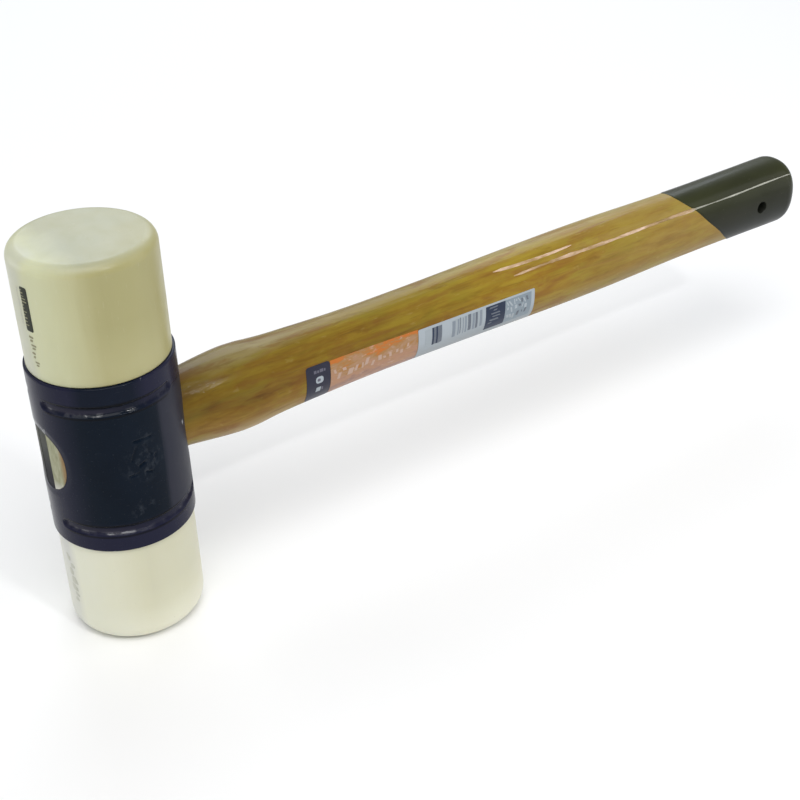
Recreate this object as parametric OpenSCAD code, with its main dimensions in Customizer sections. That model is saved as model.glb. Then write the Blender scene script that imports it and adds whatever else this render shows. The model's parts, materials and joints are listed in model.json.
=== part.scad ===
// Two-faced crimped-head mallet with a tapered-eye wooden handle.
// The head axis is vertical. The origin is the centre of the lower striking face,
// and the handle runs along +X at half the head's height.

/* [Head] */
// Outside diameter of the steel sleeve
sleeve_d = 48.6; // [48:0.1:52]
// Length of the steel sleeve
sleeve_len = 63; // [61:0.5:70]
// Wall thickness of the steel sleeve
sleeve_wall = 2.8; // [2:0.1:3]
// Bevel on the sleeve's outer rims
rim_bevel = 0.5; // [0.2:0.1:0.8]
// Diameter of each striking face
face_d = 46.8; // [45:0.1:47.4]
// How far each striking face stands out of the sleeve
face_out = 41; // [25:0.5:50]
// Rounding of the upper striking edge
upper_edge_r = 4; // [2:0.5:8]
// Rounding of the lower striking edge, which is worn further
lower_edge_r = 6; // [2:0.5:8]
// Depth of each face's spigot inside the sleeve
spigot_len = 13.5; // [12:0.5:14]

/* [Crimps] */
// From the sleeve's rim to the middle of a crimp
crimp_inset = 8.4; // [7:0.1:9]
// Width of a crimp groove
crimp_w = 3.2; // [2.6:0.1:3.6]
// Depth of a crimp groove
crimp_depth = 0.9; // [0.5:0.1:1.1]
// From the struck side round to where each crimp starts, in degrees
crimp_start = 12; // [8:1:20]
// Arc that an upper crimp covers on its flank, in degrees
upper_crimp_arc = 113; // [90:1:150]
// Arc that a lower crimp covers on its flank, in degrees
lower_crimp_arc = 143; // [90:1:150]

/* [Handle] */
// Height of the handle at the small end of the eye
eye_small_h = 22; // [20:0.1:24]
// Width of the handle at the small end of the eye
eye_small_w = 20.8; // [18:0.1:22]
// Height of the handle where it leaves the sleeve
eye_exit_h = 26.9; // [25:0.1:30]
// Height at the shoulder that stops the head
shoulder_h = 31; // [30:0.1:34]
// Height where the shoulder has faded out
foot_h = 28.8; // [27:0.1:31]
// Height at the waist
waist_h = 26.7; // [25:0.1:29]
// Height in the middle of the grip
grip_h = 29.5; // [28:0.1:32]
// Height at the neck above the butt
neck_h = 28.2; // [27:0.1:31]
// Height at the butt
butt_h = 28.9; // [28:0.1:33]
// Width of the handle as a share of its height
width_share = 0.84; // [0.7:0.01:1]
// From the head's axis to the butt's end
reach = 326; // [325:1:340]
// Length of the rounding at the butt
dome_len = 7.8; // [5:0.1:10]
// Share of the section that is left flat at the butt's end
dome_flat = 0.27; // [0.2:0.01:0.4]
// Diameter of the hang hole
hang_d = 4.5; // [4:0.1:6]
// From the butt's end to the hang hole
hang_inset = 24.4; // [20:0.1:30]

/* [Wedge] */
// Thickness of the eye wedge at the struck end of the handle
wedge_t = 6.2; // [3:0.1:7]
// How far the wedge sits from the middle of the eye, towards -Y
wedge_shift = 0.8; // [0:0.1:1.5]
// Length of the eye wedge
wedge_len = 31; // [24:1:34]
// Width of the saw kerf that takes the wedge
kerf_w = 0.8; // [0.6:0.1:1.2]

/* [Finish] */
// Thickness of the dipped coat on the butt
coat_t = 0.2; // [0.1:0.05:0.4]
// From the head's axis to the coat's edge, half way up the handle
coat_x = 272.6; // [268:0.1:284]
// Slant of the coat's edge from square, in degrees
coat_slant = 48.5; // [0:0.5:50]
// Thickness of the labels
label_t = 0.15; // [0.1:0.05:0.3]
// Height of the welded film seam
seam_h = 0.35; // [0.2:0.05:0.6]

/* [Hidden] */

$fn = 96;
eps = 0.01;
gap = 0.05;                                   // radial room between parts that push together
sleeve_r = sleeve_d / 2;
bore_r = sleeve_r - sleeve_wall;
face_r = face_d / 2;
head_len = sleeve_len + 2 * face_out;
axis_z = head_len / 2;                        // height of the handle's axis
core_len = sleeve_len - 2 * spigot_len;
crimp_z = sleeve_len / 2 - crimp_inset;
crimp_r = (crimp_w * crimp_w / 4 + crimp_depth * crimp_depth) / (2 * crimp_depth);
crimp_ring_r = sleeve_r - crimp_depth + crimp_r;
bead_r = crimp_r + sleeve_wall;               // the same bend on the inside of the wall
crown_r = sleeve_r - 0.3;                     // the struck end is dressed just below the sleeve

oval_power = 2.3;                             // 2 is an ellipse, more is squarer
ring_sides = 36;
eye_grow = 0.1;                               // room for the handle in the steel
tail_x = -sleeve_r - 2;                       // the blank's end before it is dressed

// [distance from the head's axis, half-height], from the eye to the butt
outline = [
    [-sleeve_r, eye_small_h / 2],
    [sleeve_r, eye_exit_h / 2],
    [46, shoulder_h / 2],
    [62, foot_h / 2],
    [104, waist_h / 2],
    [204, grip_h / 2],
    [262, neck_h / 2],
    [315, butt_h / 2],
    [345, butt_h / 2]
];
side_outline = [for (p = outline) [p[0], p == outline[0] ? eye_small_w / 2 : p[1] * width_share]];

front_label_x = [69, 118];
front_label_z = [4.6, -10.8];                 // from the handle's axis
front_label_drop = 1.2;                       // how much lower the sheet lies at its far end
bar_label_x = [118.2, 173.4];
bar_label_z = [2.8, -11.2];
seam_x = [165, reach - dome_len - 1.2];
seam_angle = 39;
seam_foot = 0.9;
seam_top = 0.4;

// Smooth curve through the points of an outline, straight inside the eye
function segment(x, p, i = 0) = i >= len(p) - 2 || x < p[i + 1][0] ? i : segment(x, p, i + 1);
function slope(p, i) =
    let (lo = i <= 1 ? i : i - 1, hi = min(i + 1, len(p) - 1))
    (p[hi][1] - p[lo][1]) / (p[hi][0] - p[lo][0]);
function curve(x, p) =
    let (i = segment(x, p), run = p[i + 1][0] - p[i][0], t = (x - p[i][0]) / run)
    i == 0 ? p[0][1] + t * (p[1][1] - p[0][1]) :
    (2 * pow(t, 3) - 3 * t * t + 1) * p[i][1] + (pow(t, 3) - 2 * t * t + t) * run * slope(p, i)
    + (3 * t * t - 2 * pow(t, 3)) * p[i + 1][1] + (pow(t, 3) - t * t) * run * slope(p, i + 1);

function power(v, e) = sign(v) * pow(abs(v), e);
function oval_ring(x, half_w, half_h) = [
    for (i = [0 : ring_sides - 1])
        let (a = 360 * i / ring_sides)
        [x, half_w * power(cos(a), 2 / oval_power), axis_z + half_h * power(sin(a), 2 / oval_power)]
];
function handle_ring(x, grow) = oval_ring(x, curve(x, side_outline) + grow, curve(x, outline) + grow);
function dome_ring(angle, grow) =
    let (x0 = reach - dome_len, left = 1 - (1 - dome_flat) * (1 - cos(angle)))
    oval_ring(x0 + (dome_len + grow) * sin(angle), curve(x0, side_outline) * left + grow,
              curve(x0, outline) * left + grow);

// A point on the handle's front surface, z from the handle's axis, raised along the surface normal
function front_point(x, z, lift) =
    let (a = curve(x, side_outline), b = curve(x, outline),
         y = a * pow(1 - pow(abs(z) / b, oval_power), 1 / oval_power),
         ny = pow(y / a, oval_power - 1) / a, nz = power(z / b, oval_power - 1) / b,
         n = norm([ny, nz]))
    [x, -y - lift * ny / n, axis_z + z + lift * nz / n];

// Skin of rings of equal length, closed by a flat face at each end
module ring_loft(rings) {
    n = len(rings[0]);
    last = len(rings) - 1;
    polyhedron(
        points = [for (r = rings) each r],
        faces = concat(
            [[for (i = [0 : n - 1]) i]],
            [for (k = [0 : last - 1], i = [0 : n - 1])
                let (a = k * n + i, b = k * n + (i + 1) % n)
                each [[a, a + n, b], [b, a + n, b + n]]],
            [[for (i = [n - 1 : -1 : 0]) last * n + i]]
        ),
        convexity = 6
    );
}

module tenon(grow) {
    ring_loft([handle_ring(tail_x, grow), handle_ring(sleeve_r, grow)]);
}

module handle_blank() {
    stations = [sleeve_r, 30, 36, 41, 46, 51, 56, 62, 70, 80, 92, for (x = [104 : 14 : 300]) x, 309];
    ring_loft([handle_ring(tail_x, 0),
               for (x = stations) handle_ring(x, 0),
               for (a = [0 : 15 : 90]) dome_ring(a, 0)]);
}

// Everything that the handle keeps once its struck end is dressed to the sleeve
module dressed() {
    intersection() {
        children();
        union() {
            cylinder(r = crown_r, h = head_len);
            translate([0, -sleeve_r, 0])
                cube([reach + dome_len, 2 * sleeve_r, head_len]);
        }
    }
}

module wedge_shape() {
    translate([0, -wedge_shift, axis_z - eye_small_h])
        linear_extrude(2 * eye_small_h)
            polygon([[tail_x, -wedge_t / 2], [tail_x, wedge_t / 2],
                     [wedge_len - sleeve_r, kerf_w / 2], [wedge_len - sleeve_r, -kerf_w / 2]]);
}

// A section swept along the four crimps: upper and lower, on both flanks
module crimp_sweeps() {
    for (end = [-1, 1], side = [-1, 1]) {
        arc = end > 0 ? upper_crimp_arc : lower_crimp_arc;
        translate([0, 0, end * crimp_z])
            rotate([0, 0, side > 0 ? 180 - crimp_start - arc : crimp_start - 180])
                rotate_extrude(angle = arc)
                    children();
    }
}

module sleeve_tube() {
    difference() {
        rotate_extrude()
            polygon([[bore_r, -sleeve_len / 2], [sleeve_r - rim_bevel, -sleeve_len / 2],
                     [sleeve_r, -sleeve_len / 2 + rim_bevel], [sleeve_r, sleeve_len / 2 - rim_bevel],
                     [sleeve_r - rim_bevel, sleeve_len / 2], [bore_r, sleeve_len / 2]]);
        crimp_sweeps()
            translate([crimp_ring_r, 0])
                circle(r = crimp_r);
    }
}

// Inside of the wall where a crimp pushes it into the face's spigot
module sleeve_beads() {
    crimp_sweeps()
        intersection() {
            translate([crimp_ring_r, 0])
                circle(r = bead_r);
            translate([bore_r - sleeve_wall, -bead_r])
                square([sleeve_wall * 1.2, 2 * bead_r]);
        }
}

module head_sleeve() {
    color([0.10, 0.13, 0.17])
        difference() {
            translate([0, 0, axis_z]) {
                sleeve_tube();
                sleeve_beads();
            }
            tenon(eye_grow);
        }
}

module eye_core() {
    color([0.35, 0.35, 0.36])
        difference() {
            translate([0, 0, axis_z - core_len / 2])
                cylinder(r = bore_r - gap, h = core_len);
            tenon(eye_grow);
        }
}

// A striking face with its shoulder at z = 0, its striking side up and its spigot below
module face_plug(edge_r) {
    difference() {
        union() {
            rotate_extrude() {
                square([face_r - edge_r, face_out]);
                square([face_r, face_out - edge_r]);
                translate([face_r - edge_r, face_out - edge_r])
                    intersection() {
                        circle(r = edge_r);
                        square(edge_r);
                    }
            }
            translate([0, 0, -spigot_len])
                cylinder(r = bore_r - gap, h = spigot_len + eps);
        }
        translate([0, 0, -crimp_inset])
            rotate_extrude()
                translate([crimp_ring_r, 0])
                    circle(r = bead_r + gap);
    }
}

module upper_face() {
    color([0.80, 0.78, 0.62])
        translate([0, 0, axis_z + sleeve_len / 2])
            face_plug(upper_edge_r);
}

module lower_face() {
    color([0.84, 0.83, 0.70])
        translate([0, 0, axis_z - sleeve_len / 2])
            mirror([0, 0, 1])
                face_plug(lower_edge_r);
}

module hang_hole() {
    translate([reach - hang_inset, 0, axis_z])
        rotate([90, 0, 0])
            cylinder(d = hang_d, h = 2 * sleeve_r, center = true);
}

module handle() {
    color([0.60, 0.46, 0.18])
        dressed()
            difference() {
                handle_blank();
                wedge_shape();
                translate([tail_x, -wedge_shift - kerf_w / 2, 0])
                    cube([wedge_len - sleeve_r - tail_x + 6, kerf_w, head_len]);
                hang_hole();
            }
}

module eye_wedge() {
    color([0.42, 0.38, 0.31])
        dressed()
            intersection() {
                tenon(0);
                wedge_shape();
            }
}

module end_coat() {
    color([0.24, 0.26, 0.18])
        difference() {
            ring_loft([for (x = [248 : 12 : 308]) handle_ring(x, coat_t),
                       for (a = [0 : 15 : 90]) dome_ring(a, coat_t)]);
            handle_blank();
            hang_hole();
            translate([coat_x, 0, axis_z])
                rotate([0, -coat_slant, 0])
                    translate([-reach, -sleeve_r, -reach])
                        cube([reach, 2 * sleeve_r, 2 * reach]);
        }
}

// Thin sheet laid on the handle's front, between two stations and two heights
module front_sheet(span_x, span_z, drop, base, t) {
    nx = 7;
    nz = 16;
    function sheet_z(i, k) = span_z[0] + (span_z[1] - span_z[0]) * k / nz - drop * i / nx;
    ring_loft([
        for (i = [0 : nx])
            let (x = span_x[0] + (span_x[1] - span_x[0]) * i / nx)
            concat(
                [for (k = [0 : nz]) front_point(x, sheet_z(i, k), base + t)],
                [for (k = [nz : -1 : 0]) front_point(x, sheet_z(i, k), base)]
            )
    ]);
}

module front_label() {
    color([0.88, 0.55, 0.32])
        front_sheet(front_label_x, front_label_z, front_label_drop, 0.02, label_t);
}

module bar_label() {
    color([0.80, 0.82, 0.82])
        front_sheet(bar_label_x, bar_label_z, 0, 0.02, label_t);
}

// Ridge of welded film along the upper front edge of the grip, lifted where it crosses the coat
module film_seam() {
    function seam_z(x) = curve(x, outline) * pow(sin(seam_angle), 2 / oval_power);
    coat_edge = coat_x - seam_z(coat_x) * tan(coat_slant);
    function seam_ring(x, base) =
        let (z = seam_z(x), foot = front_point(x, z, base), crest = front_point(x, z, base + seam_h),
             up = (crest - foot) / seam_h, along = [0, -up[2], up[1]])
        [foot - along * seam_foot / 2, foot + along * seam_foot / 2,
         crest + along * seam_top / 2, crest - along * seam_top / 2];
    color([0.85, 0.83, 0.74])
        ring_loft(concat(
            [for (x = [seam_x[0] : 8 : coat_edge - 1]) seam_ring(x, 0.02)],
            [seam_ring(coat_edge - 0.4, 0.02), seam_ring(coat_edge, coat_t + 0.02)],
            [for (x = [ceil(coat_edge) + 1 : 6 : seam_x[1]]) seam_ring(x, coat_t + 0.02)]
        ));
}

head_sleeve();
eye_core();
upper_face();
lower_face();
handle();
eye_wedge();
end_coat();
front_label();
bar_label();
film_seam();
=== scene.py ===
"""Looks of the two-faced rubber mallet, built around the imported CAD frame.

Metres, +Z up the head, +X along the handle.
"""
import json
import math
import random

import bmesh
import bpy
import numpy as np
from mathutils import Matrix, Vector


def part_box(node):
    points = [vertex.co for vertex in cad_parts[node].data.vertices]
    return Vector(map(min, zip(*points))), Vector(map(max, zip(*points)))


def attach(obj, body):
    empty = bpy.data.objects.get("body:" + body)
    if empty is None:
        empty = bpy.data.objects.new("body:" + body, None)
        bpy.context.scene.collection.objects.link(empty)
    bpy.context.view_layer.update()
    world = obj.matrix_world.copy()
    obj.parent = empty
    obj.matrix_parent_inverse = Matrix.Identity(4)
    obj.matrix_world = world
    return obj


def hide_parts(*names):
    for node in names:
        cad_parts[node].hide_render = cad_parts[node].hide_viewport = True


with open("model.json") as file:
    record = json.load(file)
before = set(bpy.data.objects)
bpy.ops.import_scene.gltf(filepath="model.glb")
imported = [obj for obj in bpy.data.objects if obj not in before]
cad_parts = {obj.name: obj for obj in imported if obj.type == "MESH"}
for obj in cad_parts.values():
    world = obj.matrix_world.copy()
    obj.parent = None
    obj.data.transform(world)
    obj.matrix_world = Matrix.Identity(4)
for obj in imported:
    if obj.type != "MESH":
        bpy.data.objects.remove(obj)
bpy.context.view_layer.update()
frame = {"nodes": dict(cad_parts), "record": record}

MM = 0.001
BODY = "root"

# ---------------------------------------------------------------- sizes, read from the frame
SLEEVE_LO, SLEEVE_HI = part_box("head_sleeve")
FACE_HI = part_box("upper_face")[1]
CORE_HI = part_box("eye_core")[1]
WEDGE_LO, WEDGE_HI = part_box("eye_wedge")
COAT_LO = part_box("end_coat")[0]
FRONT_LABEL_LO, FRONT_LABEL_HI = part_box("front_label")
BAR_LABEL_LO, BAR_LABEL_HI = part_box("bar_label")
SEAM_LO, SEAM_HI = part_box("film_seam")
HANG_HOLE = next(m for m in frame["record"]["mounts"] if m["name"] == "hang_hole")

SLEEVE_R = SLEEVE_HI.y
SLEEVE_LEN = SLEEVE_HI.z - SLEEVE_LO.z
AXIS_Z = (SLEEVE_HI.z + SLEEVE_LO.z) / 2
BORE_R = CORE_HI.y + 0.05 * MM
CORE_HALF = CORE_HI.z - AXIS_Z
FACE_R = FACE_HI.y
HEAD_LEN = FACE_HI.z
HANG_X = HANG_HOLE["pos_m"][0]
HANG_R = HANG_HOLE["dims"]["r_mm"] * MM
OVAL_POWER = 2.3                # the handle's section: 2 is an ellipse, more is squarer
COAT_T = 0.2 * MM
COAT_SLANT = math.radians(48.5)
CROWN_R = SLEEVE_R - 0.3 * MM   # the struck end of the handle is dressed to this radius
HANG_FLARE = 0.5 * MM           # how much wider the hang hole is at its mouths
LABEL_GAP = 0.01 * MM           # between the wood and a label, so that the two never touch
INK = 0.02 * MM                 # thickness of a printed shape


FULL_RING = 30                  # a ring of the CAD handle has at least this many points, a cut much fewer


def outline_from_frame():
    """Stations along the handle with its half-width and half-height, from the CAD node's rings."""
    rings = {}
    for v in frame["nodes"]["handle"].data.vertices:
        rings.setdefault(round(v.co.x, 5), []).append(v.co)
    table = []
    for x in sorted(rings):
        ring = rings[x]
        half_h = max(abs(co.z - AXIS_Z) for co in ring)
        half_w = max(abs(co.y) for co in ring)
        if x > SLEEVE_R * 0.98 and len(ring) >= FULL_RING:
            table.append((x, half_w, half_h))
    return np.array(table)


STATIONS = outline_from_frame()
REACH = STATIONS[-1, 0]
DOME_X = STATIONS[-7, 0]        # where the butt starts to round over
# x, half-width and half-height of the tapered part in the eye, where it comes out at the struck side
SMALL_END = np.array([-SLEEVE_R, 10.4 * MM, 11.0 * MM])


def smooth_at(x, xs, ys):
    """Smooth curve through the points (xs, ys), without overshoot."""
    x = np.clip(np.asarray(x, float), xs[0], xs[-1])
    i = np.clip(np.searchsorted(xs, x, side="right") - 1, 0, len(xs) - 2)
    run = np.diff(xs)
    rise = np.diff(ys) / run
    slope = np.zeros(len(xs))
    same_way = rise[1:] * rise[:-1] > 0
    slope[1:-1][same_way] = (2 * rise[1:] * rise[:-1] / (rise[1:] + rise[:-1] + 1e-12))[same_way]
    slope[0], slope[-1] = rise[0], rise[-1]
    t = (x - xs[i]) / run[i]
    return ((2 * t**3 - 3 * t**2 + 1) * ys[i] + (t**3 - 2 * t**2 + t) * run[i] * slope[i]
            + (3 * t**2 - 2 * t**3) * ys[i + 1] + (t**3 - t**2) * run[i] * slope[i + 1])


def half_sizes(x):
    """Half-width and half-height of the handle at x: straight inside the eye, then the outline."""
    x = np.asarray(x, float)
    t = (x - SMALL_END[0]) / (STATIONS[0, 0] - SMALL_END[0])
    sizes = []
    for k in (1, 2):
        inside = SMALL_END[k] + t * (STATIONS[0, k] - SMALL_END[k])
        sizes.append(np.where(t < 1, inside, smooth_at(x, STATIONS[:, 0], STATIONS[:, k])))
    return sizes


def signed_power(v, e):
    return np.sign(v) * np.abs(v) ** e


def oval_point(x, angle, lift=0.0):
    """Points on the handle's surface, angle 0 at +Y and 90 degrees up, raised by lift along the normal."""
    a, b = half_sizes(x)
    c, s = signed_power(np.cos(angle), 2 / OVAL_POWER), signed_power(np.sin(angle), 2 / OVAL_POWER)
    ny, nz = signed_power(c, OVAL_POWER - 1) / a, signed_power(s, OVAL_POWER - 1) / b
    n = np.hypot(ny, nz)
    return np.stack(np.broadcast_arrays(x, a * c + lift * ny / n, AXIS_Z + b * s + lift * nz / n), -1)


def front_point(x, z, lift=0.0):
    """Points on the handle's front side, z from its axis."""
    b = half_sizes(x)[1]
    s = signed_power(np.clip(z / b, -1, 1), OVAL_POWER / 2)
    return oval_point(x, np.pi - np.arcsin(s), lift)


# ---------------------------------------------------------------- mesh helpers
def add_piece(name, mesh, slot, replaces=()):
    piece = bpy.data.objects.new(name, mesh)
    bpy.context.scene.collection.objects.link(piece)
    if slot:
        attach(piece, BODY)
    if replaces:
        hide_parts(*replaces)
    return piece


def mesh_from(name, points, faces):
    mesh = bpy.data.meshes.new(name)
    mesh.from_pydata([tuple(p) for p in points], [], faces)
    mesh.validate()
    bm = bmesh.new()
    bm.from_mesh(mesh)
    bmesh.ops.recalc_face_normals(bm, faces=bm.faces)
    bm.to_mesh(mesh)
    bm.free()
    return mesh


def shade(piece, degrees=35):
    """Smooth shading with sharp edges past an angle."""
    mesh = piece.data
    mesh.polygons.foreach_set("use_smooth", [True] * len(mesh.polygons))
    mesh.set_sharp_from_angle(angle=math.radians(degrees))


def dress(piece, material, degrees=40):
    """One material all over, and smooth shading."""
    piece.data.materials.clear()
    piece.data.materials.append(material)
    shade(piece, degrees)


def quads(rows, n, closed_rows=False):
    """Faces between neighbouring rings of n points, for rings stored one after another."""
    pairs = [(r * n, (r + 1) % rows * n) for r in range(rows if closed_rows else rows - 1)]
    return [(a + i, a + (i + 1) % n, b + (i + 1) % n, b + i) for a, b in pairs for i in range(n)]


def loop_skin(rings, closed_rows=False):
    """Points and faces of a skin over rings of equal length. Open rows are closed by a fan at each end."""
    rows, n = len(rings), len(rings[0])
    points = [tuple(p) for ring in rings for p in ring]
    faces = quads(rows, n, closed_rows)
    for row in () if closed_rows else (0, rows - 1):
        faces += [(row * n + i, row * n + (i + 1) % n, len(points)) for i in range(n)]
        points.append(tuple(np.mean(rings[row], axis=0)))
    return points, faces


def revolve(name, profile, sides=192):
    """A solid of revolution about Z. The profile runs from the axis round to the axis."""
    turn = [(math.cos(2 * math.pi * i / sides), math.sin(2 * math.pi * i / sides)) for i in range(sides)]
    points, faces = loop_skin([[(r * c, r * s, z) for c, s in turn] for r, z in profile[1:-1]])
    points[-2:] = [(0.0, 0.0, profile[0][1]), (0.0, 0.0, profile[-1][1])]
    return mesh_from(name, points, faces)


def arc(cx, cz, r, start, end, steps):
    """Points on an arc, angles in degrees."""
    return [(cx + r * math.cos(math.radians(a)), cz + r * math.sin(math.radians(a)))
            for a in np.linspace(start, end, steps)]


def cut(piece, cutter_mesh, operation="DIFFERENCE"):
    """Boolean with a throwaway cutter, applied to the mesh."""
    cutter = bpy.data.objects.new("cutter", cutter_mesh)
    bpy.context.scene.collection.objects.link(cutter)
    modifier = piece.modifiers.new("cut", "BOOLEAN")
    modifier.operation = operation
    modifier.solver = "EXACT"
    modifier.object = cutter
    apply_modifiers(piece)
    bpy.data.objects.remove(cutter)


def apply_modifiers(piece):
    bpy.context.view_layer.update()
    graph = bpy.context.evaluated_depsgraph_get()
    result = bpy.data.meshes.new_from_object(piece.evaluated_get(graph))
    piece.modifiers.clear()
    piece.data = result


def tenon_mesh(grow, sides=96):
    """The handle's shape inside the eye, grown by a clearance and long enough to cut through the head."""
    angle = np.linspace(0, 2 * np.pi, sides, endpoint=False)
    far = SLEEVE_R + 6 * MM
    rings = [oval_point(np.full(sides, x), angle, grow) for x in (-far, 0.0, far)]
    return mesh_from("tenon", *loop_skin(rings))


# ---------------------------------------------------------------- material helpers
class Value:
    """A number in a node tree. Arithmetic with it adds Math nodes."""

    def __init__(self, nodes, socket):
        self.maths, self.socket = nodes.maths, socket

    def __add__(self, other):
        return self.maths("ADD", self, other)

    def __radd__(self, other):
        return self.maths("ADD", other, self)

    def __sub__(self, other):
        return self.maths("SUBTRACT", self, other)

    def __rsub__(self, other):
        return self.maths("SUBTRACT", other, self)

    def __mul__(self, other):
        return self.maths("MULTIPLY", self, other)

    def __truediv__(self, other):
        return self.maths("DIVIDE", self, other)

    def __pow__(self, other):
        return self.maths("POWER", self, other)


class Nodes:
    """A short way to write a node tree: each call adds a node and links or sets its inputs."""

    def __init__(self, name):
        self.material = bpy.data.materials.new(name)
        self.material.use_nodes = True
        self.tree = self.material.node_tree
        self.shader = self.tree.nodes["Principled BSDF"]

    def add(self, kind, inputs, **settings):
        node = self.tree.nodes.new("ShaderNode" + kind)
        for key, value in settings.items():
            setattr(node, key, value)
        for key, value in inputs.items():
            self.feed(node.inputs[key], value)
        return node

    def feed(self, socket, value):
        """Link a value to a socket, or set the socket to it. Colours are given as three numbers."""
        value = getattr(value, "socket", value)
        if isinstance(value, bpy.types.NodeSocket):
            self.tree.links.new(value, socket)
        else:
            socket.default_value = (*value, 1) if socket.type == "RGBA" else value

    def set(self, **inputs):
        for key, value in inputs.items():
            self.feed(self.shader.inputs[key.replace("_", " ")], value)

    def position(self, scale=(1, 1, 1), shift=(0, 0, 0)):
        where = self.add("TexCoord", {}).outputs["Object"]
        return self.add("Mapping", {"Vector": where, "Scale": scale, "Location": shift}).outputs[0]

    def axes(self):
        """Place on the object: x, y, and the height from the handle's axis."""
        x, y, z = (Value(self, socket) for socket in self.add("SeparateXYZ", {0: self.position()}).outputs)
        return x, y, z - AXIS_Z

    def distance(self, vector, spot):
        return self.add("VectorMath", {0: vector, 1: spot}, operation="DISTANCE").outputs["Value"]

    def noise(self, vector, scale, detail=4.0, roughness=0.55, distortion=0.0):
        inputs = {"Vector": vector, "Scale": scale, "Detail": detail, "Roughness": roughness,
                  "Distortion": distortion}
        return Value(self, self.add("TexNoise", inputs).outputs["Fac"])

    def streak(self, scale, detail, roughness=0.55, distortion=0.0, shift=(0, 0, 0)):
        """Noise with a scale of its own along each axis."""
        return self.noise(self.position(scale, shift), 1.0, detail, roughness, distortion)

    def maths(self, operation, a, b=0.0):
        return Value(self, self.add("Math", {0: a, 1: b}, operation=operation).outputs[0])

    def ramp(self, value, stops):
        node = self.add("ValToRGB", {"Fac": value})
        elements = node.color_ramp.elements
        while len(elements) < len(stops):
            elements.new(0.5)
        for element, (place, colour) in zip(elements, stops):
            element.position = place
            element.color = (*colour, 1)
        return node.outputs["Color"]

    def between(self, value, low, high, to_low=0.0, to_high=1.0):
        """Carry the span from low to high over to another one, and stop at its ends."""
        inputs = {"Value": value, "From Min": low, "From Max": high, "To Min": to_low, "To Max": to_high}
        return Value(self, self.add("MapRange", inputs, clamp=True).outputs[0])

    def between_mm(self, value, low, high, to_low=0.0, to_high=1.0):
        return self.between(value, low * MM, high * MM, to_low, to_high)

    def between_degrees(self, value, low, high, to_low=0.0, to_high=1.0):
        return self.between(value, math.radians(low), math.radians(high), to_low, to_high)

    def mix(self, share, a, b):
        node = self.add("Mix", {}, data_type="RGBA", blend_type="MIX")
        for key, value in (("Factor_Float", share), ("A_Color", a), ("B_Color", b)):
            self.feed(next(s for s in node.inputs if s.identifier == key), value)
        return next(s for s in node.outputs if s.identifier == "Result_Color")

    def bump(self, height, strength, depth):
        """A bumpy normal, its depth in mm."""
        inputs = {"Height": height, "Strength": strength, "Distance": depth * MM}
        return self.add("Bump", inputs).outputs["Normal"]

    def stain(self, colour, tone, most, low, high, *streak, shift=(0, 0, 0)):
        """The colour with a tone over it where streaks rise from low to high, up to a share of most."""
        share = self.between(self.streak(*streak, shift=shift), low, high, 0.0, most)
        return self.mix(share, colour, tone)


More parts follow.
